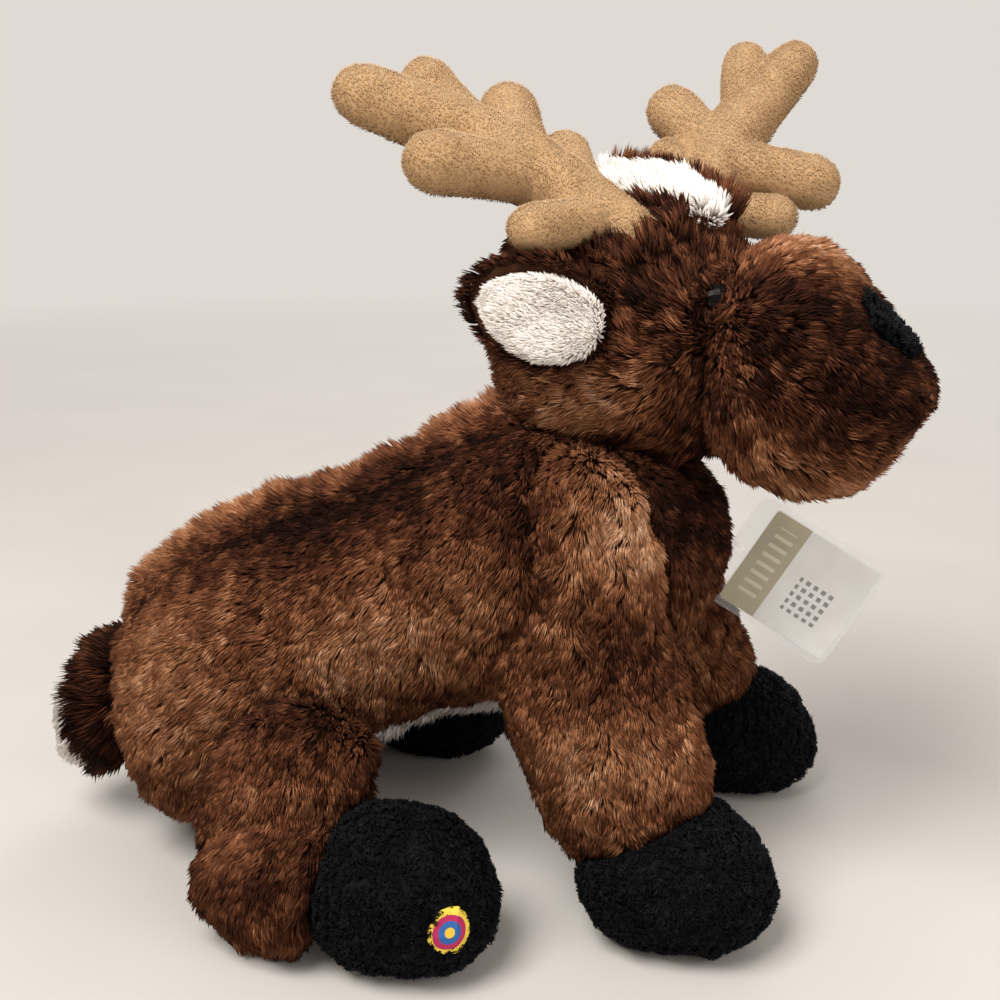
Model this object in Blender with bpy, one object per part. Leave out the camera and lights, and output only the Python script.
"""A plush deer with stuffed antlers, half lying on its folded hind legs.

Every stuffed piece is a lofted form: rings along an axis, given as shares of the piece's own
length, height and half width. The sewn limbs turn at their seams, so each one sits in a pocket
of the larger piece that clears it over its whole range. Metres, +Z up, the deer faces +X.
"""

import math

import bmesh
import bpy
from mathutils import Matrix, Vector

# Sizes of the whole toy
TORSO_LENGTH = 0.186
TORSO_HEIGHT = 0.140
TORSO_HALF_WIDTH = 0.042
PILE = 0.003
SEAM_GAP = 0.0003
FLOOR_SINK = 0.0008
WELD = 0.000001

# Head
SKULL_LENGTH = 0.075
SKULL_HEIGHT = 0.041
SKULL_HALF_WIDTH = 0.039
SKULL_RISE = 0.029
SKULL_BACK = 0.034
MUZZLE_LENGTH = 0.063
MUZZLE_HEIGHT = 0.0435
MUZZLE_HALF_WIDTH = 0.0355
NECK_TILT = math.radians(14)
HEAD_TURN = math.radians(-15)

# Inlaid pieces: half length, half width, half depth
PATCH_SIZE = Vector((0.019, 0.0125, 0.008))
NOSE_SIZE = Vector((0.0138, 0.0125, 0.0085))
SOLE_PATCH_SIZE = Vector((0.0078, 0.0070, 0.0028))
NOSE_PROUD = 0.002
PATCH_PROUD = 0.0025

# Eyes
EYE_RADIUS = 0.0048
EYE_SHANK_RADIUS = 0.0019
EYE_SHANK_LENGTH = 0.0125
WASHER_RADIUS = 0.0050
WASHER_THICKNESS = 0.0014
WASHER_DEPTH = 0.0090

# Ears
EAR_LENGTH = 0.040
EAR_HALF_HEIGHT = 0.0155
EAR_HALF_THICKNESS = 0.0036
EAR_CUP = 0.0045
EAR_ROOT = 0.0035
EAR_LINING_SHARE = 0.80
EAR_OUT = math.radians(18)
EAR_IN = math.radians(5)

# Antlers
ANTLER_LENGTH = 0.082
ANTLER_THICKNESS = 0.0092
ANTLER_VOXEL = 0.0024
ANTLER_SOFTEN_STEPS = 4
ANTLER_CREASE = 0.0011
ANTLER_LIFT = math.radians(12)
ANTLER_DROP = math.radians(2)
ANTLER_DECIMATE_SHARE = 0.20
ANTLER_SOFTEN_SHARE = 0.5

# Legs
LEG_HALF_DEPTH = 0.024
LEG_HALF_WIDTH = 0.0195
FRONT_HOOF_LENGTH = 0.059
FRONT_HOOF_HALF_HEIGHT = 0.0235
FRONT_HOOF_HALF_WIDTH = 0.026
FRONT_STAGGER = 0.013
FRONT_SPLAY = 0.013
FRONT_FORWARD = math.radians(10)
FRONT_BACK = math.radians(3)
THIGH_HEIGHT = 0.067
THIGH_HALF_DEPTH = 0.0285
THIGH_HALF_WIDTH = 0.0235
FOOT_LENGTH = 0.064
FOOT_HALF_HEIGHT = 0.0215
FOOT_HALF_WIDTH = 0.0235
HIND_HOOF_LENGTH = 0.057
HIND_HOOF_HALF_HEIGHT = 0.0245
HIND_HOOF_HALF_WIDTH = 0.0255
HIND_STAGGER = 0.0195
HIND_LIFT = math.radians(10)
HIND_DROP = math.radians(4)

# Tail
TAIL_LENGTH = 0.044
TAIL_HALF_HEIGHT = 0.0130
TAIL_HALF_WIDTH = 0.0140
TAIL_SWING = math.radians(12)

# Hang tag
TAG_LENGTH = 0.043
TAG_WIDTH = 0.036
TAG_CORNER = 0.004
SLEEVE_THICKNESS = 0.0018
SLEEVE_RIM = 0.0018
SLEEVE_SLOT = 0.0010
CARD_THICKNESS = 0.0004
TAG_HOLE_RADIUS = 0.0014
LOOP_RADIUS = 0.0006
LOOP_LENGTH = 0.0140
LOOP_HALF_WIDTH = 0.0030

SIDES = (("right", -1), ("left", 1))

# Where things are, as shares of the torso's length, half width and height
neck_shares = (0.806, 0.0, 0.936)
shoulder_shares = (0.790, 0.69, 0.757)
leg_top_shares = (0.710, 0.62, 0.925)
front_hoof_shares = (0.935, 1.02)
hip_shares = (0.376, 0.98, 0.271)
thigh_shares = (0.376, 1.07)
hind_hoof_shares = (0.560, 1.57)
foot_heel_shares = (0.240, 1.38)
tail_root_shares = (0.035, 0.0, 0.40)
tag_shares = (1.004, 0.545, 0.650)
belly_front_shares = (0.720, 0.0, 0.455)
belly_rear_shares = (0.330, 0.0, 0.255)

# Seams and splits, as shares of the piece's own size
seam_share = 0.925
muzzle_start_share = 0.83
front_seam_share = 0.62
hind_seam_share = 0.36
tail_split_share = 0.30
tail_lean_share = 0.6
ear_shift_share = 0.67
ear_reach_share = 0.61
muzzle_square = 2.35
least_share = 0.25
cap_shares = ((0.6, 0.8), (0.92, 0.38))

# Rows of a stuffed form: share of length, then lowest, highest and half width in shares
torso_shares = (
    (0.000, 0.37, 0.37, 0.00),
    (0.016, 0.22, 0.49, 0.40),
    (0.054, 0.10, 0.57, 0.70),
    (0.108, 0.045, 0.645, 0.90),
    (0.188, 0.035, 0.715, 1.00),
    (0.280, 0.07, 0.77, 1.02),
    (0.387, 0.18, 0.81, 0.99),
    (0.495, 0.29, 0.87, 1.00),
    (0.600, 0.335, 0.955, 1.09),
    (0.710, 0.36, 0.995, 1.15),
    (0.806, 0.395, 0.98, 1.10),
    (0.890, 0.45, 0.935, 0.92),
    (0.950, 0.53, 0.87, 0.67),
    (0.984, 0.61, 0.80, 0.41),
    (1.000, 0.72, 0.72, 0.00),
)
skull_shares = (
    (0.000, 0.05, 0.05, 0.00),
    (0.028, -0.46, 0.39, 0.40),
    (0.097, -0.70, 0.63, 0.68),
    (0.222, -0.86, 0.85, 0.88),
    (0.389, -0.92, 0.975, 0.98),
    (0.569, -0.88, 1.00, 1.00),
    (0.722, -0.90, 0.93, 0.96),
    (0.847, -0.88, 0.73, 0.85),
    (0.930, -0.76, 0.49, 0.69),
    (0.986, -0.49, 0.20, 0.46),
    (1.000, -0.15, -0.15, 0.00),
)
muzzle_shares = (
    (0.000, -0.18, -0.18, 0.00),
    (0.030, -0.46, 0.18, 0.50),
    (0.070, -0.76, 0.40, 0.76),
    (0.160, -0.90, 0.525, 0.92),
    (0.290, -0.965, 0.56, 0.985),
    (0.435, -1.00, 0.51, 1.00),
    (0.580, -0.98, 0.345, 0.97),
    (0.725, -0.89, 0.16, 0.90),
    (0.855, -0.71, -0.01, 0.76),
    (0.942, -0.535, -0.165, 0.56),
    (0.985, -0.42, -0.26, 0.31),
    (1.000, -0.345, -0.345, 0.00),
)
leg_shares = (
    (0.000, -0.10, -0.10, 0.00),
    (0.050, -1.10, 0.60, 0.72),
    (0.200, -1.33, 0.83, 0.95),
    (0.400, -1.36, 0.85, 0.95),
    (0.570, -1.30, 0.90, 0.90),
    (0.720, -1.08, 1.05, 0.87),
    (0.850, -0.72, 1.08, 0.80),
    (0.940, -0.34, 0.90, 0.62),
    (0.985, 0.02, 0.66, 0.36),
    (1.000, 0.34, 0.34, 0.00),
)
thigh_form_shares = (
    (0.000, 0.05, 0.05, 0.00),
    (0.035, -0.48, 0.52, 0.52),
    (0.120, -0.74, 0.82, 0.82),
    (0.280, -0.90, 0.96, 0.97),
    (0.480, -1.00, 1.00, 1.00),
    (0.680, -0.98, 0.93, 0.92),
    (0.850, -0.76, 0.70, 0.70),
    (0.965, -0.40, 0.36, 0.36),
    (1.000, 0.00, 0.00, 0.00),
)
egg_shares = (
    (0.000, 0.00, 0.00, 0.00),
    (0.030, -0.38, 0.34, 0.36),
    (0.120, -0.70, 0.66, 0.68),
    (0.280, -0.93, 0.90, 0.91),
    (0.480, -1.00, 1.00, 1.00),
    (0.680, -0.90, 0.93, 0.92),
    (0.850, -0.66, 0.68, 0.69),
    (0.965, -0.32, 0.34, 0.34),
    (1.000, 0.00, 0.00, 0.00),
)
hoof_shares = (
    (0.000, -0.05, -0.05, 0.00),
    (0.035, -0.47, 0.38, 0.42),
    (0.130, -0.80, 0.73, 0.73),
    (0.300, -0.98, 0.96, 0.94),
    (0.500, -1.00, 1.00, 1.00),
    (0.700, -0.97, 0.90, 0.97),
    (0.860, -0.84, 0.63, 0.79),
    (0.960, -0.60, 0.24, 0.48),
    (1.000, -0.22, -0.22, 0.00),
)
ear_shares = (
    (0.000, 0.00, 0.00, 0.00),
    (0.030, -0.42, 0.42, 0.60),
    (0.120, -0.68, 0.66, 0.85),
    (0.300, -0.90, 0.86, 1.00),
    (0.500, -1.00, 0.97, 1.00),
    (0.700, -0.90, 0.95, 0.90),
    (0.860, -0.62, 0.76, 0.75),
    (0.960, -0.25, 0.46, 0.45),
    (1.000, 0.12, 0.12, 0.00),
)
tail_shares = (
    (0.000, 0.00, 0.00, 0.00),
    (0.040, -0.40, 0.40, 0.40),
    (0.150, -0.68, 0.68, 0.66),
    (0.350, -0.95, 0.92, 0.92),
    (0.550, -1.00, 1.00, 1.00),
    (0.760, -0.80, 0.86, 0.84),
    (0.920, -0.44, 0.50, 0.48),
    (1.000, 0.00, 0.00, 0.00),
)

# An antler in its own plane: shares of its length along the beam and across it, then of its thickness
antler_shares = {
    "right": {
        "beam": (
            (-0.029, 0.000, 0.76),
            (0.195, -0.024, 0.93),
            (0.449, -0.044, 1.04),
            (0.702, -0.012, 0.93),
            (0.927, 0.061, 0.86),
        ),
        "brow": ((0.088, 0.020, 0.65), (0.159, 0.155, 0.63), (0.220, 0.277, 0.69)),
        "front": ((0.351, -0.020, 0.85), (0.476, 0.104, 0.80), (0.591, 0.212, 0.87)),
        "back_low": ((0.171, -0.059, 0.72), (0.250, -0.154, 0.67), (0.320, -0.251, 0.72)),
        "back_mid": ((0.415, -0.098, 0.83), (0.494, -0.207, 0.83), (0.567, -0.316, 0.89)),
        "back_high": ((0.634, -0.078, 0.83), (0.738, -0.146, 0.76), (0.829, -0.209, 0.79)),
    },
    "left": {
        "beam": (
            (-0.029, 0.000, 0.76),
            (0.195, -0.029, 0.93),
            (0.449, -0.059, 1.02),
            (0.702, -0.061, 0.91),
            (0.911, -0.050, 0.79),
        ),
        "brow": ((0.088, 0.020, 0.65), (0.165, 0.128, 0.64), (0.233, 0.240, 0.71)),
        "front": ((0.351, 0.010, 0.86), (0.405, 0.140, 0.82), (0.446, 0.274, 0.87)),
        "back_low": ((0.156, -0.059, 0.72), (0.205, -0.134, 0.66), (0.245, -0.195, 0.67)),
        "back_mid": ((0.366, -0.085, 0.80), (0.415, -0.195, 0.80), (0.450, -0.295, 0.86)),
        "back_high": ((0.605, -0.078, 0.80), (0.707, -0.146, 0.75), (0.804, -0.196, 0.76)),
    },
}
# The way each antler points: along its beam, then across it to the front tines
antler_ways = {
    "right": (Vector((-0.881, 0.072, 0.457)), Vector((-0.224, -0.925, -0.292))),
    "left": (Vector((0.450, 0.677, 0.583)), Vector((0.874, -0.230, -0.419))),
}
antler_base_shares = (0.595, 0.575, 0.615)
eye_shares = (0.93, 0.61, 0.22)
eye_way = Vector((0.60, 0.77, 0.20))
ear_base_shares = (0.575, 0.90, 0.055)
ear_way = Vector((-0.68, 0.72, 0.14))
patch_shares = (0.62, -0.10, 0.90)
nose_shares = (0.745, 0.0, 0.085)
sole_patch_shares = (0.59, 0.71, -0.02)
PATCH_PITCH = math.radians(24)
NOSE_PITCH = math.radians(42)
TAIL_PITCH = math.radians(56)
TAG_PITCH = math.radians(31)
FRONT_SEAM_PITCH = math.radians(29)
HIND_SEAM_PITCH = math.radians(16)

TORSO_RING_POINTS = 24
HEAD_RING_POINTS = 20
LIMB_RING_POINTS = 16
SMALL_RING_POINTS = 12


def material(name, colour, roughness, alpha=1.0):
    made = bpy.data.materials.new(name)
    made.use_nodes = True
    shader = made.node_tree.nodes["Principled BSDF"]
    shader.inputs["Base Color"].default_value = (*colour, 1.0)
    shader.inputs["Roughness"].default_value = roughness
    shader.inputs["Metallic"].default_value = 0.0
    shader.inputs["Alpha"].default_value = alpha
    return made


def to_object(name, bm):
    """The bmesh as a new object, with its faces made to point outwards."""
    bmesh.ops.recalc_face_normals(bm, faces=bm.faces)
    mesh = bpy.data.meshes.new(name)
    bm.to_mesh(mesh)
    bm.free()
    obj = bpy.data.objects.new(name, mesh)
    bpy.context.scene.collection.objects.link(obj)
    return obj


def frame(origin, along, side):
    """A matrix whose X is along, whose Y is near side, and whose Z is square to both."""
    x = along.normalized()
    z = x.cross(side).normalized()
    y = z.cross(x)
    turn = Matrix((x, y, z)).transposed().to_4x4()
    return Matrix.Translation(origin) @ turn


def eased(rows):
    """The rows with one more between each two, on a smooth curve through them."""
    out = []
    for i in range(len(rows) - 1):
        before = rows[max(i - 1, 0)]
        after = rows[min(i + 2, len(rows) - 1)]
        out.append(rows[i])
        out.append(
            tuple(
                (9 * (a + b) - (z + c)) / 16
                for z, a, b, c in zip(before, rows[i], rows[i + 1], after)
            )
        )
    out.append(rows[-1])
    return out


def form(name, place, rows, size, inset=0.0, square=2.0, points=LIMB_RING_POINTS, bend=None, smooth=False):
    """A stuffed form: rings along X of the place, inset by half its pile or grown by a clearance."""
    length, half_width, height = size
    bm = bmesh.new()
    rings = []
    if smooth:
        rows = eased(rows)
    for along, low, high, wide in rows:
        x = inset + along * (length - 2 * inset)
        middle = height * (low + high) / 2
        half = height * (high - low) / 2
        if wide <= 0:
            rings.append([bm.verts.new((x, 0, middle))])
            continue
        half = max(half - inset, half * least_share)
        across = max(half_width * wide - inset, half_width * wide * least_share)
        ring = []
        for k in range(points):
            angle = math.tau * k / points
            c, s = math.cos(angle), math.sin(angle)
            y = across * math.copysign(abs(c) ** (2 / square), c)
            z = half * math.copysign(abs(s) ** (2 / square), s)
            ring.append(bm.verts.new((x, y, middle + z)))
        rings.append(ring)
    for first, second in zip(rings, rings[1:]):
        for k in range(points):
            n = (k + 1) % points
            if len(first) == 1:
                bm.faces.new((first[0], second[n], second[k]))
            elif len(second) == 1:
                bm.faces.new((first[k], first[n], second[0]))
            else:
                bm.faces.new((first[k], first[n], second[n], second[k]))
    if bend:
        for vert in bm.verts:
            vert.co = bend(vert.co)
    bmesh.ops.triangulate(bm, faces=bm.faces)
    obj = to_object(name, bm)
    obj.data.transform(place)
    return obj


def ellipsoid(name, place, size, grow=0.0):
    """An egg that marks out a patch: its half sizes lie along the axes of the place."""
    bm = bmesh.new()
    bmesh.ops.create_uvsphere(bm, u_segments=18, v_segments=9, radius=1)
    obj = to_object(name, bm)
    obj.data.transform(Matrix.Diagonal((size.x + grow, size.y + grow, size.z + grow, 1)))
    obj.data.transform(place)
    return obj


def disc(name, place, radius, thickness, points=LIMB_RING_POINTS):
    """A short round bar centred on the place, along its Z."""
    bm = bmesh.new()
    bmesh.ops.create_cone(
        bm, cap_ends=True, segments=points, radius1=radius, radius2=radius, depth=thickness
    )
    obj = to_object(name, bm)
    obj.data.transform(place)
    return obj


def baked(obj):
    """The object with its modifiers worked into its mesh."""
    graph = bpy.context.evaluated_depsgraph_get()
    mesh = bpy.data.meshes.new_from_object(obj.evaluated_get(graph))
    obj.modifiers.clear()
    obj.data = mesh
    return obj


def boolean(obj, tool, operation, keep_tool=False):
    modifier = obj.modifiers.new(operation, "BOOLEAN")
    modifier.operation = operation
    modifier.solver = "EXACT"
    modifier.object = tool
    baked(obj)
    if not keep_tool:
        bpy.data.objects.remove(tool)
    return obj


def copy(obj, name):
    twin = bpy.data.objects.new(name, obj.data.copy())
    bpy.context.scene.collection.objects.link(twin)
    return twin


def cut(obj, point, normal):
    """Takes off what lies on the normal's side of a plane, and closes the cut."""
    bm = bmesh.new()
    bm.from_mesh(obj.data)
    everything = bm.verts[:] + bm.edges[:] + bm.faces[:]
    bmesh.ops.bisect_plane(
        bm, geom=everything, dist=WELD, plane_co=point, plane_no=normal, clear_outer=True
    )
    rim = [edge for edge in bm.edges if edge.is_boundary]
    bmesh.ops.holes_fill(bm, edges=rim, sides=0)
    bmesh.ops.triangulate(bm, faces=[face for face in bm.faces if len(face.verts) > 3])
    bmesh.ops.recalc_face_normals(bm, faces=bm.faces)
    bm.to_mesh(obj.data)
    bm.free()
    return obj


def turned(centre, axis, angle):
    return Matrix.Translation(centre) @ Matrix.Rotation(angle, 4, axis) @ Matrix.Translation(-centre)


def pocket(target, tool, centre, axis, angles, below=None):
    """Carves the room that a grown copy of a turning piece sweeps, as one convex tool."""
    bm = bmesh.new()
    for angle in angles:
        turn = turned(centre, axis, angle)
        for vert in tool.data.vertices:
            if below is None or below(vert.co):
                bm.verts.new(turn @ vert.co)
    made = bmesh.ops.convex_hull(bm, input=bm.verts)
    loose = [item for item in made["geom_interior"] + made["geom_unused"] if item.is_valid]
    bmesh.ops.delete(bm, geom=list({v for v in loose if isinstance(v, bmesh.types.BMVert)}), context="VERTS")
    bpy.data.objects.remove(tool)
    return boolean(target, to_object("room", bm), "DIFFERENCE")


def inlay(target, stock, place, size, name):
    """Cuts a patch out of a form, so that the two lie flush or the patch stands as proud as its stock."""
    boolean(stock, ellipsoid("mark", place, size), "INTERSECT")
    boolean(target, ellipsoid("mark", place, size, SEAM_GAP), "DIFFERENCE")
    stock.name = name
    return stock


def share_point(shares, side=1):
    return Vector(
        (shares[0] * TORSO_LENGTH, side * shares[1] * TORSO_HALF_WIDTH, shares[2] * TORSO_HEIGHT)
    )


# Torso and belly panel
def torso_form(name, inset=PILE):
    size = (TORSO_LENGTH, TORSO_HALF_WIDTH, TORSO_HEIGHT)
    return form(name, Matrix.Identity(4), torso_shares, size, inset, points=TORSO_RING_POINTS, smooth=True)


NECK = share_point(neck_shares)
NECK_AXIS = Vector((math.sin(NECK_TILT), 0, math.cos(NECK_TILT)))


def make_torso():
    body = torso_form("body")
    return cut(body, NECK - NECK_AXIS * (SEAM_GAP / 2), NECK_AXIS)


def make_belly(body):
    """The white panel under the belly: the slice of the torso below a sloping plane."""
    front = share_point(belly_front_shares)
    rear = share_point(belly_rear_shares)
    slope = (front - rear).normalized()
    normal = Vector((-slope.z, 0, slope.x))
    panel = copy(body, "belly_panel")
    cut(panel, front - normal * SEAM_GAP, normal)
    cut(panel, front, slope)
    cut(panel, rear, -slope)
    room = torso_form("room", 0.0)
    cut(room, front, normal)
    cut(room, front + slope * SEAM_GAP, slope)
    cut(room, rear - slope * SEAM_GAP, -slope)
    boolean(body, room, "DIFFERENCE")
    return panel


# Head
def head_place():
    """From the skull's own axes, with the skull's middle at the origin, to the deer's."""
    stand = Matrix.Translation(NECK + Vector((0, 0, SKULL_RISE)))
    return turned(NECK, NECK_AXIS, HEAD_TURN) @ stand


HEAD = head_place()
HEAD_WAY = HEAD.to_3x3()


def skull_form(name, inset=PILE):
    place = HEAD @ Matrix.Translation((-SKULL_BACK, 0, 0))
    size = (SKULL_LENGTH, SKULL_HALF_WIDTH, SKULL_HEIGHT)
    return form(name, place, skull_shares, size, inset, points=HEAD_RING_POINTS, smooth=True)


def muzzle_form(name, inset=PILE):
    place = HEAD @ Matrix.Translation((muzzle_start_share * SKULL_LENGTH - SKULL_BACK, 0, 0))
    size = (MUZZLE_LENGTH, MUZZLE_HALF_WIDTH, MUZZLE_HEIGHT)
    return form(name, place, muzzle_shares, size, inset, muzzle_square, HEAD_RING_POINTS, smooth=True)


def skull_point(shares, side=1):
    local = Vector(
        (
            shares[0] * SKULL_LENGTH - SKULL_BACK,
            side * shares[1] * SKULL_HALF_WIDTH,
            shares[2] * SKULL_HEIGHT,
        )
    )
    return HEAD @ local


def sided(way, side):
    """A direction in the head's axes, mirrored for the right side."""
    return HEAD_WAY @ Vector((way.x, side * way.y, way.z))


def make_head():
    skull = skull_form("head")
    muzzle = muzzle_form("muzzle")
    seam = HEAD @ Vector((seam_share * SKULL_LENGTH - SKULL_BACK, 0, 0))
    ahead = HEAD_WAY @ Vector((1, 0, 0))
    cut(skull, NECK + NECK_AXIS * (SEAM_GAP / 2), -NECK_AXIS)
    cut(skull, seam - ahead * (SEAM_GAP / 2), ahead)
    cut(muzzle, seam + ahead * (SEAM_GAP / 2), -ahead)
    patch_place = Matrix.Translation(skull_point(patch_shares)) @ HEAD_WAY.to_4x4()
    patch_place = patch_place @ Matrix.Rotation(PATCH_PITCH, 4, "Y")
    stock = skull_form("patch_stock", PILE - PATCH_PROUD)
    patch = inlay(skull, stock, patch_place, PATCH_SIZE, "forehead_patch")
    nose_at = Vector(
        (
            muzzle_start_share * SKULL_LENGTH - SKULL_BACK + nose_shares[0] * MUZZLE_LENGTH,
            0,
            nose_shares[2] * MUZZLE_HEIGHT,
        )
    )
    nose_place = HEAD @ Matrix.Translation(nose_at) @ Matrix.Rotation(NOSE_PITCH, 4, "Y")
    nose = inlay(muzzle, muzzle_form("nose_stock", PILE - NOSE_PROUD), nose_place, NOSE_SIZE, "nose")
    return skull, muzzle, patch, nose


def make_eye(skull, muzzle, label, side):
    """A bead on a shank, and the washer that grips the shank inside the head."""
    centre = skull_point(eye_shares, side)
    outward = sided(eye_way, side).normalized()
    place = frame(centre, sided(Vector((0, 0, 1)), side), outward)
    turn = outward.to_track_quat("Z", "Y").to_matrix().to_4x4()

    def at(depth):
        return Matrix.Translation(centre - outward * depth) @ turn

    def bead(name, grow):
        return ellipsoid(name, place, Vector((EYE_RADIUS, EYE_RADIUS, EYE_RADIUS)), grow)

    def bar(name, radius, start, end):
        return disc(name, at((start + end) / 2), radius, end - start, SMALL_RING_POINTS)

    eye = bead(f"eye_{label}", 0.0)
    boolean(eye, bar("shank", EYE_SHANK_RADIUS, 0.0, EYE_SHANK_LENGTH), "UNION")
    washer = bar(f"eye_washer_{label}", WASHER_RADIUS, WASHER_DEPTH, WASHER_DEPTH + WASHER_THICKNESS)
    bore_end = WASHER_DEPTH + 2 * WASHER_THICKNESS
    bore = bar("bore", EYE_SHANK_RADIUS + SEAM_GAP, WASHER_DEPTH - WASHER_THICKNESS, bore_end)
    boolean(washer, bore, "DIFFERENCE")
    room = bead("room", SEAM_GAP)
    hole = bar("hole", EYE_SHANK_RADIUS + SEAM_GAP, 0.0, EYE_SHANK_LENGTH + SEAM_GAP)
    boolean(room, hole, "UNION")
    seat_end = WASHER_DEPTH + WASHER_THICKNESS + SEAM_GAP
    seat = bar("seat", WASHER_RADIUS + SEAM_GAP, WASHER_DEPTH - SEAM_GAP, seat_end)
    boolean(room, seat, "UNION")
    boolean(skull, room, "DIFFERENCE")
    boolean(muzzle, bead("room", SEAM_GAP), "DIFFERENCE")
    return eye, washer


def make_ear(skull, label, side):
    """A cupped leaf of pile with a thinner white lining let into its front."""
    root = skull_point(ear_base_shares, side)
    along = sided(ear_way, side)
    upright = sided(Vector((0, 0, 1)), side)
    front = along.cross(upright) * side
    place = frame(root - along.normalized() * EAR_ROOT, along, front)

    def cupped(co):
        lift = EAR_CUP * (co.z / EAR_HALF_HEIGHT) ** 2
        return Vector((co.x, co.y + lift, co.z))

    size = (EAR_LENGTH, EAR_HALF_THICKNESS, EAR_HALF_HEIGHT)
    ear = form(f"ear_{label}", place, ear_shares, size, bend=cupped)
    share = EAR_LINING_SHARE
    inner_place = place @ Matrix.Translation(
        ((1 - share) * EAR_LENGTH * ear_shift_share, EAR_HALF_THICKNESS, 0)
    )
    inner = (EAR_LENGTH * share, EAR_HALF_THICKNESS, EAR_HALF_HEIGHT * share)
    lining = form(f"ear_lining_{label}", inner_place, ear_shares, inner, bend=cupped)
    room = form("room", inner_place, ear_shares, inner, -SEAM_GAP, bend=cupped)
    boolean(ear, room, "DIFFERENCE")
    hinge_axis = upright * side
    grown = form("grown", place, ear_shares, size, -SEAM_GAP, bend=cupped)
    grown_lining = form("grown", inner_place, ear_shares, inner, -SEAM_GAP, bend=cupped)
    reach = ear_reach_share * EAR_LENGTH

    def near_root(co):
        return (co - root).dot(along.normalized()) < reach

    steps = (-EAR_IN, 0, EAR_OUT / 2, EAR_OUT)
    pocket(skull, grown, root, hinge_axis, steps, near_root)
    pocket(skull, grown_lining, root, hinge_axis, steps, near_root)
    return ear, lining, root, hinge_axis


def finger(bm, rows, place, segments=SMALL_RING_POINTS):
    """A round stuffed tube through points, closed by round ends."""
    spots = [place @ Vector((along, across, 0)) for along, across, radius in rows]
    sizes = [radius for along, across, radius in rows]
    rings = []
    normal = place.to_3x3() @ Vector((0, 0, 1))
    for i, spot in enumerate(spots):
        ahead = spots[min(i + 1, len(spots) - 1)] - spots[max(i - 1, 0)]
        ahead.normalize()
        side = ahead.cross(normal).normalized()
        rows_here = [(0.0, 1.0)]
        if i == 0:
            rows_here = [(-shift, narrow) for shift, narrow in reversed(cap_shares)] + rows_here
        if i == len(spots) - 1:
            rows_here += cap_shares
        for shift, narrow in rows_here:
            ring = []
            for k in range(segments):
                angle = math.tau * k / segments
                out = side * math.cos(angle) + normal * math.sin(angle)
                at = spot + ahead * (shift * sizes[i]) + out * (narrow * sizes[i])
                ring.append(bm.verts.new(at))
            rings.append(ring)
    for first, second in zip(rings, rings[1:]):
        for k in range(segments):
            n = (k + 1) % segments
            bm.faces.new((first[k], first[n], second[n], second[k]))
    bm.faces.new(rings[0])
    bm.faces.new(rings[-1])


def antler_place(label, side):
    along, across = antler_ways[label]
    base = skull_point(antler_base_shares, side)
    return frame(base, along, across)


def antler_rows(label, name):
    return [
        (along * ANTLER_LENGTH, across * ANTLER_LENGTH, thick * ANTLER_THICKNESS)
        for along, across, thick in antler_shares[label][name]
    ]


def keep_largest_shell(obj):
    """Takes away what the remesh left loose, such as a hollow between two tubes."""
    bm = bmesh.new()
    bm.from_mesh(obj.data)
    waiting = set(bm.verts)
    shells = []
    while waiting:
        shell = {waiting.pop()}
        reached = list(shell)
        while reached:
            vert = reached.pop()
            for edge in vert.link_edges:
                other = edge.other_vert(vert)
                if other not in shell:
                    shell.add(other)
                    reached.append(other)
        waiting -= shell
        shells.append(shell)
    largest = max(shells, key=len)
    bmesh.ops.delete(bm, geom=[vert for vert in bm.verts if vert not in largest], context="VERTS")
    bm.to_mesh(obj.data)
    bm.free()


def make_antler(skull, patch, label, side):
    """A beam with five tines: overlapping stuffed tubes, remeshed into one smooth skin."""
    place = antler_place(label, side)
    bm = bmesh.new()
    for name in antler_shares[label]:
        finger(bm, antler_rows(label, name), Matrix.Identity(4))
    antler = to_object(f"antler_{label}", bm)
    skin = antler.modifiers.new("skin", "REMESH")
    skin.mode = "VOXEL"
    skin.voxel_size = ANTLER_VOXEL
    baked(antler)
    keep_largest_shell(antler)
    soften = antler.modifiers.new("soften", "SMOOTH")
    soften.factor = ANTLER_SOFTEN_SHARE
    soften.iterations = ANTLER_SOFTEN_STEPS
    fewer = antler.modifiers.new("fewer", "DECIMATE")
    fewer.ratio = ANTLER_DECIMATE_SHARE
    baked(antler)
    antler.data.transform(place)
    base = place.translation.copy()
    axis = place.to_3x3() @ Vector((0, side, 0))
    steps = (-ANTLER_DROP, ANTLER_LIFT / 2, ANTLER_LIFT)
    for name in ("beam", "brow", "back_low"):
        root_rows = antler_rows(label, name)[:3]
        rows = [(along, across, radius + ANTLER_CREASE) for along, across, radius in root_rows]
        for target in (skull, patch):
            bm = bmesh.new()
            finger(bm, rows, place)
            pocket(target, to_object("grown", bm), base, axis, steps)
    return antler, base, axis


# Legs
LATERAL = Vector((0, -1, 0))


def front_hoof_centre(side):
    """The far leg is posed further forward and outward than the near one."""
    posed = side > 0
    along = front_hoof_shares[0] * TORSO_LENGTH + posed * FRONT_STAGGER
    out = front_hoof_shares[1] * TORSO_HALF_WIDTH + posed * FRONT_SPLAY
    return Vector((along, side * out, FRONT_HOOF_HALF_HEIGHT - FLOOR_SINK - PILE))


def front_leg_form(name, side, inset):
    hoof = front_hoof_centre(side)
    top = share_point(leg_top_shares, side)
    along = top - hoof
    place = frame(hoof, along, Vector((0, 1, 0)))
    size = (along.length, LEG_HALF_WIDTH, LEG_HALF_DEPTH)
    return form(name, place, [(a, -h, -l, w) for a, l, h, w in leg_shares], size, inset)


def hoof_form(name, centre, size, inset):
    """An egg with a lower toe, its length along X."""
    place = Matrix.Translation(centre - Vector((size[0] / 2, 0, 0)))
    return form(name, place, hoof_shares, size, inset)


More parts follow.
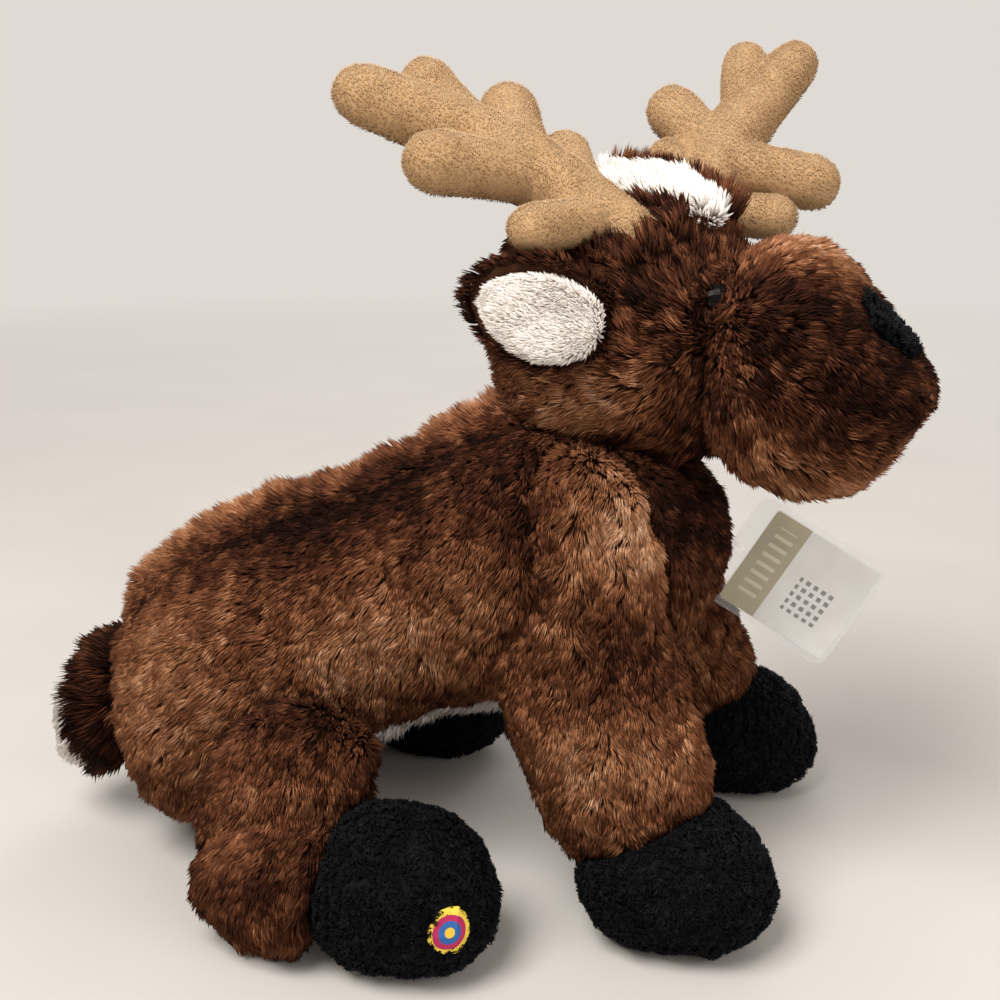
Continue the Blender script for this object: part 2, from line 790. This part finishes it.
def make_front_leg(body, label, side):
    centre = front_hoof_centre(side)
    leg = front_leg_form(f"front_leg_{label}", side, PILE)
    size = (FRONT_HOOF_LENGTH, FRONT_HOOF_HALF_WIDTH, FRONT_HOOF_HALF_HEIGHT)
    hoof = hoof_form(f"front_hoof_{label}", centre, size, PILE)
    normal = Vector((-math.sin(FRONT_SEAM_PITCH), 0, math.cos(FRONT_SEAM_PITCH)))
    seam = centre + normal * (FRONT_HOOF_HALF_HEIGHT * front_seam_share)
    cut(leg, seam + normal * (SEAM_GAP / 2), -normal)
    cut(hoof, seam - normal * (SEAM_GAP / 2), normal)
    cut(hoof, Vector((0, 0, 0)), Vector((0, 0, -1)))
    shoulder = share_point(shoulder_shares, side)
    grown = front_leg_form("grown", side, PILE - SEAM_GAP)
    steps = (-FRONT_BACK, FRONT_FORWARD / 2, FRONT_FORWARD)
    floor = centre.z + FRONT_HOOF_HALF_HEIGHT
    pocket(body, grown, shoulder, LATERAL, steps, lambda co: co.z > floor)
    return leg, hoof, shoulder


def hind_point(shares, side, height):
    """A place on a hind leg; the far leg is folded further back than the near one."""
    posed = side > 0
    along = shares[0] * TORSO_LENGTH - posed * HIND_STAGGER
    return Vector((along, side * shares[1] * TORSO_HALF_WIDTH, height))


def thigh_form(name, side, inset):
    foot = hind_point(thigh_shares, side, -PILE - FLOOR_SINK)
    place = frame(foot, Vector((0, 0, 1)), Vector((0, 1, 0)))
    size = (THIGH_HEIGHT, THIGH_HALF_WIDTH, THIGH_HALF_DEPTH)
    return form(name, place, thigh_form_shares, size, inset)


def hind_hoof_centre(side):
    return hind_point(hind_hoof_shares, side, HIND_HOOF_HALF_HEIGHT - FLOOR_SINK - PILE)


def foot_form(name, side, inset):
    """The stuffed foot: from the heel, along the floor and slightly outwards, to inside the hoof."""
    heel = hind_point(foot_heel_shares, side, FOOT_HALF_HEIGHT - PILE - FLOOR_SINK)
    toe = hind_hoof_centre(side)
    along = Vector((toe.x - heel.x, toe.y - heel.y, 0))
    place = frame(heel, along, Vector((0, 1, 0)))
    return form(name, place, egg_shares, (FOOT_LENGTH, FOOT_HALF_WIDTH, FOOT_HALF_HEIGHT), inset)


def make_hind_leg(body, label, side):
    centre = hind_hoof_centre(side)
    leg = thigh_form(f"hind_leg_{label}", side, PILE)
    boolean(leg, foot_form("foot", side, PILE), "UNION")
    size = (HIND_HOOF_LENGTH, HIND_HOOF_HALF_WIDTH, HIND_HOOF_HALF_HEIGHT)
    hoof = hoof_form(f"hind_hoof_{label}", centre, size, PILE)
    normal = Vector((math.cos(HIND_SEAM_PITCH), 0, -math.sin(HIND_SEAM_PITCH)))
    seam = centre - normal * (HIND_HOOF_LENGTH * hind_seam_share)
    cut(leg, seam - normal * (SEAM_GAP / 2), normal)
    cut(hoof, seam + normal * (SEAM_GAP / 2), -normal)
    floor = Vector((0, 0, 0))
    cut(hoof, floor, Vector((0, 0, -1)))
    cut(leg, floor, Vector((0, 0, -1)))
    hip = hind_point(hip_shares, side, hip_shares[2] * TORSO_HEIGHT)
    grown = thigh_form("grown", side, PILE - SEAM_GAP)
    pocket(body, grown, hip, LATERAL, (-HIND_DROP, HIND_LIFT / 2, HIND_LIFT))
    return leg, hoof, hip


# Tail
def make_tail(body):
    """A short stuffed tail, brown above and white on its rear underside."""
    root = share_point(tail_root_shares)
    along = Vector((-math.cos(TAIL_PITCH), 0, -math.sin(TAIL_PITCH)))
    place = frame(root, along, Vector((0, 1, 0)))
    size = (TAIL_LENGTH, TAIL_HALF_WIDTH, TAIL_HALF_HEIGHT)
    tail = form("tail", place, tail_shares, size)
    under = copy(tail, "tail_underside")
    out = place.to_3x3() @ Vector((0, 0, 1))
    if out.x > 0:
        out = -out
    normal = (out + along * tail_lean_share).normalized()
    split = root + along * (TAIL_LENGTH * 0.5) + out * (TAIL_HALF_HEIGHT * tail_split_share)
    cut(tail, split - normal * (SEAM_GAP / 2), normal)
    cut(under, split + normal * (SEAM_GAP / 2), -normal)
    grown = form("grown", place, tail_shares, size, -SEAM_GAP)
    axis = Vector((0, 0, 1))
    pocket(body, grown, root, axis, (-TAIL_SWING, 0, TAIL_SWING))
    return tail, under, root, axis


# Hang tag
def plate(name, place, length, width, thickness, corner, points=5):
    """A flat plate with round corners: length along X, width along Z, thickness along Y."""
    bm = bmesh.new()
    outline = []
    for cx, cz, start in ((1, 1, 0), (0, 1, 1), (0, -1, 2), (1, -1, 3)):
        middle_x = length - corner if cx else corner
        middle_z = cz * (width / 2 - corner)
        for k in range(points):
            angle = math.pi / 2 * (start + k / (points - 1))
            outline.append((middle_x + corner * math.cos(angle), middle_z + corner * math.sin(angle)))
    front = [bm.verts.new((x, -thickness / 2, z)) for x, z in outline]
    back = [bm.verts.new((x, thickness / 2, z)) for x, z in outline]
    bm.faces.new(front)
    bm.faces.new(back[::-1])
    for k in range(len(front)):
        n = (k + 1) % len(front)
        bm.faces.new((front[k], back[k], back[n], front[n]))
    bmesh.ops.triangulate(bm, faces=bm.faces)
    obj = to_object(name, bm)
    obj.data.transform(place)
    return obj


def make_tag(body):
    """A card in a clear sleeve, open at its far short edge, on a plastic loop from the chest seam."""
    pivot = share_point(tag_shares)
    along = Vector((math.cos(TAG_PITCH), 0, -math.sin(TAG_PITCH)))
    place = frame(pivot, along, Vector((0, 1, 0)))
    edge = 2 * TAG_HOLE_RADIUS
    shifted = place @ Matrix.Translation((-edge, 0, 0))
    sleeve = plate("tag_sleeve", shifted, TAG_LENGTH, TAG_WIDTH, SLEEVE_THICKNESS, TAG_CORNER)
    slot_start = 2 * edge
    slot_place = shifted @ Matrix.Translation((slot_start, 0, 0))
    slot_width = TAG_WIDTH - 2 * SLEEVE_RIM
    slot = plate("slot", slot_place, TAG_LENGTH, slot_width, SLEEVE_SLOT, TAG_CORNER / 4)
    boolean(sleeve, slot, "DIFFERENCE")
    card_length = TAG_LENGTH - slot_start - SLEEVE_RIM
    card_place = slot_place @ Matrix.Translation((SEAM_GAP, 0, 0))
    card = plate("tag_card", card_place, card_length, slot_width - 2 * SEAM_GAP, CARD_THICKNESS, TAG_CORNER / 4)
    lying = Matrix.Rotation(math.pi / 2, 4, "X")
    boolean(sleeve, disc("hole", place @ lying, TAG_HOLE_RADIUS, 2 * SLEEVE_THICKNESS), "DIFFERENCE")
    loop = loop_form("tag_loop", place, LOOP_RADIUS)
    boolean(body, loop_form("seat", place, LOOP_RADIUS + SEAM_GAP), "DIFFERENCE")
    return sleeve, card, loop, pivot


def loop_form(name, place, radius, steps=20, sides=6):
    """A thin closed loop through the sleeve's hole, whose far end is held in the chest."""
    bm = bmesh.new()
    back = place.to_3x3() @ Vector((-1, 0, 0))
    side = place.to_3x3() @ Vector((0, 1, 0))
    level = back.cross(side).normalized()
    middle = place.translation + back * (LOOP_LENGTH / 2)
    rings = []
    for i in range(steps):
        turn = math.tau * i / steps
        out = back * (math.cos(turn) * LOOP_LENGTH / 2) + side * (math.sin(turn) * LOOP_HALF_WIDTH)
        ahead = side * (math.cos(turn) * LOOP_HALF_WIDTH) - back * (math.sin(turn) * LOOP_LENGTH / 2)
        square = ahead.cross(level).normalized()
        ring = []
        for k in range(sides):
            angle = math.tau * k / sides
            around = square * math.cos(angle) + level * math.sin(angle)
            ring.append(bm.verts.new(middle + out + around * radius))
        rings.append(ring)
    for first, second in zip(rings, rings[1:] + rings[:1]):
        for k in range(sides):
            n = (k + 1) % sides
            bm.faces.new((first[k], first[n], second[n], second[k]))
    return to_object(name, bm)


def finish(obj, look, pivot=None):
    """Gives the object its material and round shading, and puts its origin on its hinge."""
    obj.data.materials.clear()
    obj.data.materials.append(look)
    obj.data.shade_smooth()
    obj.data.set_sharp_from_angle(angle=math.radians(40))
    if pivot is not None:
        obj.data.transform(Matrix.Translation(-pivot))
        obj.location = pivot


def stand_on_origin(pivots):
    """Moves the whole deer so that the middle of its box's underside is the origin."""
    bpy.context.view_layer.update()
    corners = [obj.matrix_world @ vert.co for obj in bpy.data.objects for vert in obj.data.vertices]
    low = [min(co[i] for co in corners) for i in range(3)]
    high = [max(co[i] for co in corners) for i in range(3)]
    shift = -Vector(((low[0] + high[0]) / 2, (low[1] + high[1]) / 2, low[2]))
    stand = bpy.data.objects.new("deer", None)
    bpy.context.scene.collection.objects.link(stand)
    for obj in list(bpy.data.objects):
        if obj is not stand:
            obj.parent = stand
    stand.location = shift
    sole = front_hoof_centre(-1) + shift
    print("contact", [round(sole.x, 5), round(sole.y, 5), 0])
    for name, (spot, axis) in pivots.items():
        at = spot + shift
        print("joint", name, [round(value, 5) for value in at], [round(value, 4) for value in axis])
    print("box", [round(high[i] - low[i], 4) for i in range(3)])


def main():
    for obj in list(bpy.data.objects):
        bpy.data.objects.remove(obj)
    brown = material("brown_pile", (0.085, 0.036, 0.018), 0.85)
    dark = material("dark_pile", (0.040, 0.016, 0.009), 0.85)
    white = material("white_pile", (0.80, 0.73, 0.66), 0.9)
    black = material("black_pile", (0.006, 0.006, 0.008), 0.9)
    tan = material("tan_plush", (0.58, 0.36, 0.17), 0.9)
    bead = material("black_bead", (0.004, 0.004, 0.004), 0.12)
    nylon = material("clear_plastic", (0.90, 0.91, 0.90), 0.2, 0.35)
    washer_white = material("washer_plastic", (0.75, 0.75, 0.72), 0.5)
    card_look = material("card", (0.72, 0.68, 0.56), 0.7)
    printed = material("sole_patch", (0.55, 0.30, 0.32), 0.7)

    pivots = {"head_turn": (NECK, NECK_AXIS)}
    body = make_torso()
    skull, muzzle, patch, nose = make_head()
    for label, side in SIDES:
        ear, lining, root, axis = make_ear(skull, label, side)
        pivots[f"ear_{label}"] = (root, axis)
        finish(ear, dark, root)
        finish(lining, white, root)
        antler, base, axis = make_antler(skull, patch, label, side)
        pivots[f"antler_{label}"] = (base, axis)
        finish(antler, tan, base)
        eye, washer = make_eye(skull, muzzle, label, side)
        finish(eye, bead, NECK)
        finish(washer, washer_white, NECK)
        leg, hoof, shoulder = make_front_leg(body, label, side)
        pivots[f"front_leg_{label}"] = (shoulder, LATERAL)
        finish(leg, brown, shoulder)
        finish(hoof, black, shoulder)
        leg, hoof, hip = make_hind_leg(body, label, side)
        if side < 0:
            centre = hind_hoof_centre(side)
            spot = Vector(
                (
                    sole_patch_shares[0] * HIND_HOOF_LENGTH / 2,
                    side * sole_patch_shares[1] * HIND_HOOF_HALF_WIDTH,
                    sole_patch_shares[2] * HIND_HOOF_HALF_HEIGHT,
                )
            )
            place = frame(centre + spot, Vector((0, 0, 1)), spot)
            flat = Vector((SOLE_PATCH_SIZE.x, SOLE_PATCH_SIZE.z, SOLE_PATCH_SIZE.y))
            stock = copy(hoof, "stock")
            finish(inlay(hoof, stock, place, flat, "sole_patch"), printed, hip)
        pivots[f"hind_leg_{label}"] = (hip, LATERAL)
        finish(leg, brown, hip)
        finish(hoof, black, hip)
    for obj, look in ((skull, brown), (muzzle, brown), (patch, white), (nose, black)):
        finish(obj, look, NECK)
    tail, under, root, axis = make_tail(body)
    pivots["tail"] = (root, axis)
    finish(tail, dark, root)
    finish(under, white, root)
    belly = make_belly(body)
    finish(belly, white)
    sleeve, card, loop, pivot = make_tag(body)
    pivots["tag"] = (pivot, LATERAL)
    finish(sleeve, nylon, pivot)
    finish(card, card_look, pivot)
    finish(loop, nylon)
    finish(body, brown)
    stand_on_origin(pivots)


main()
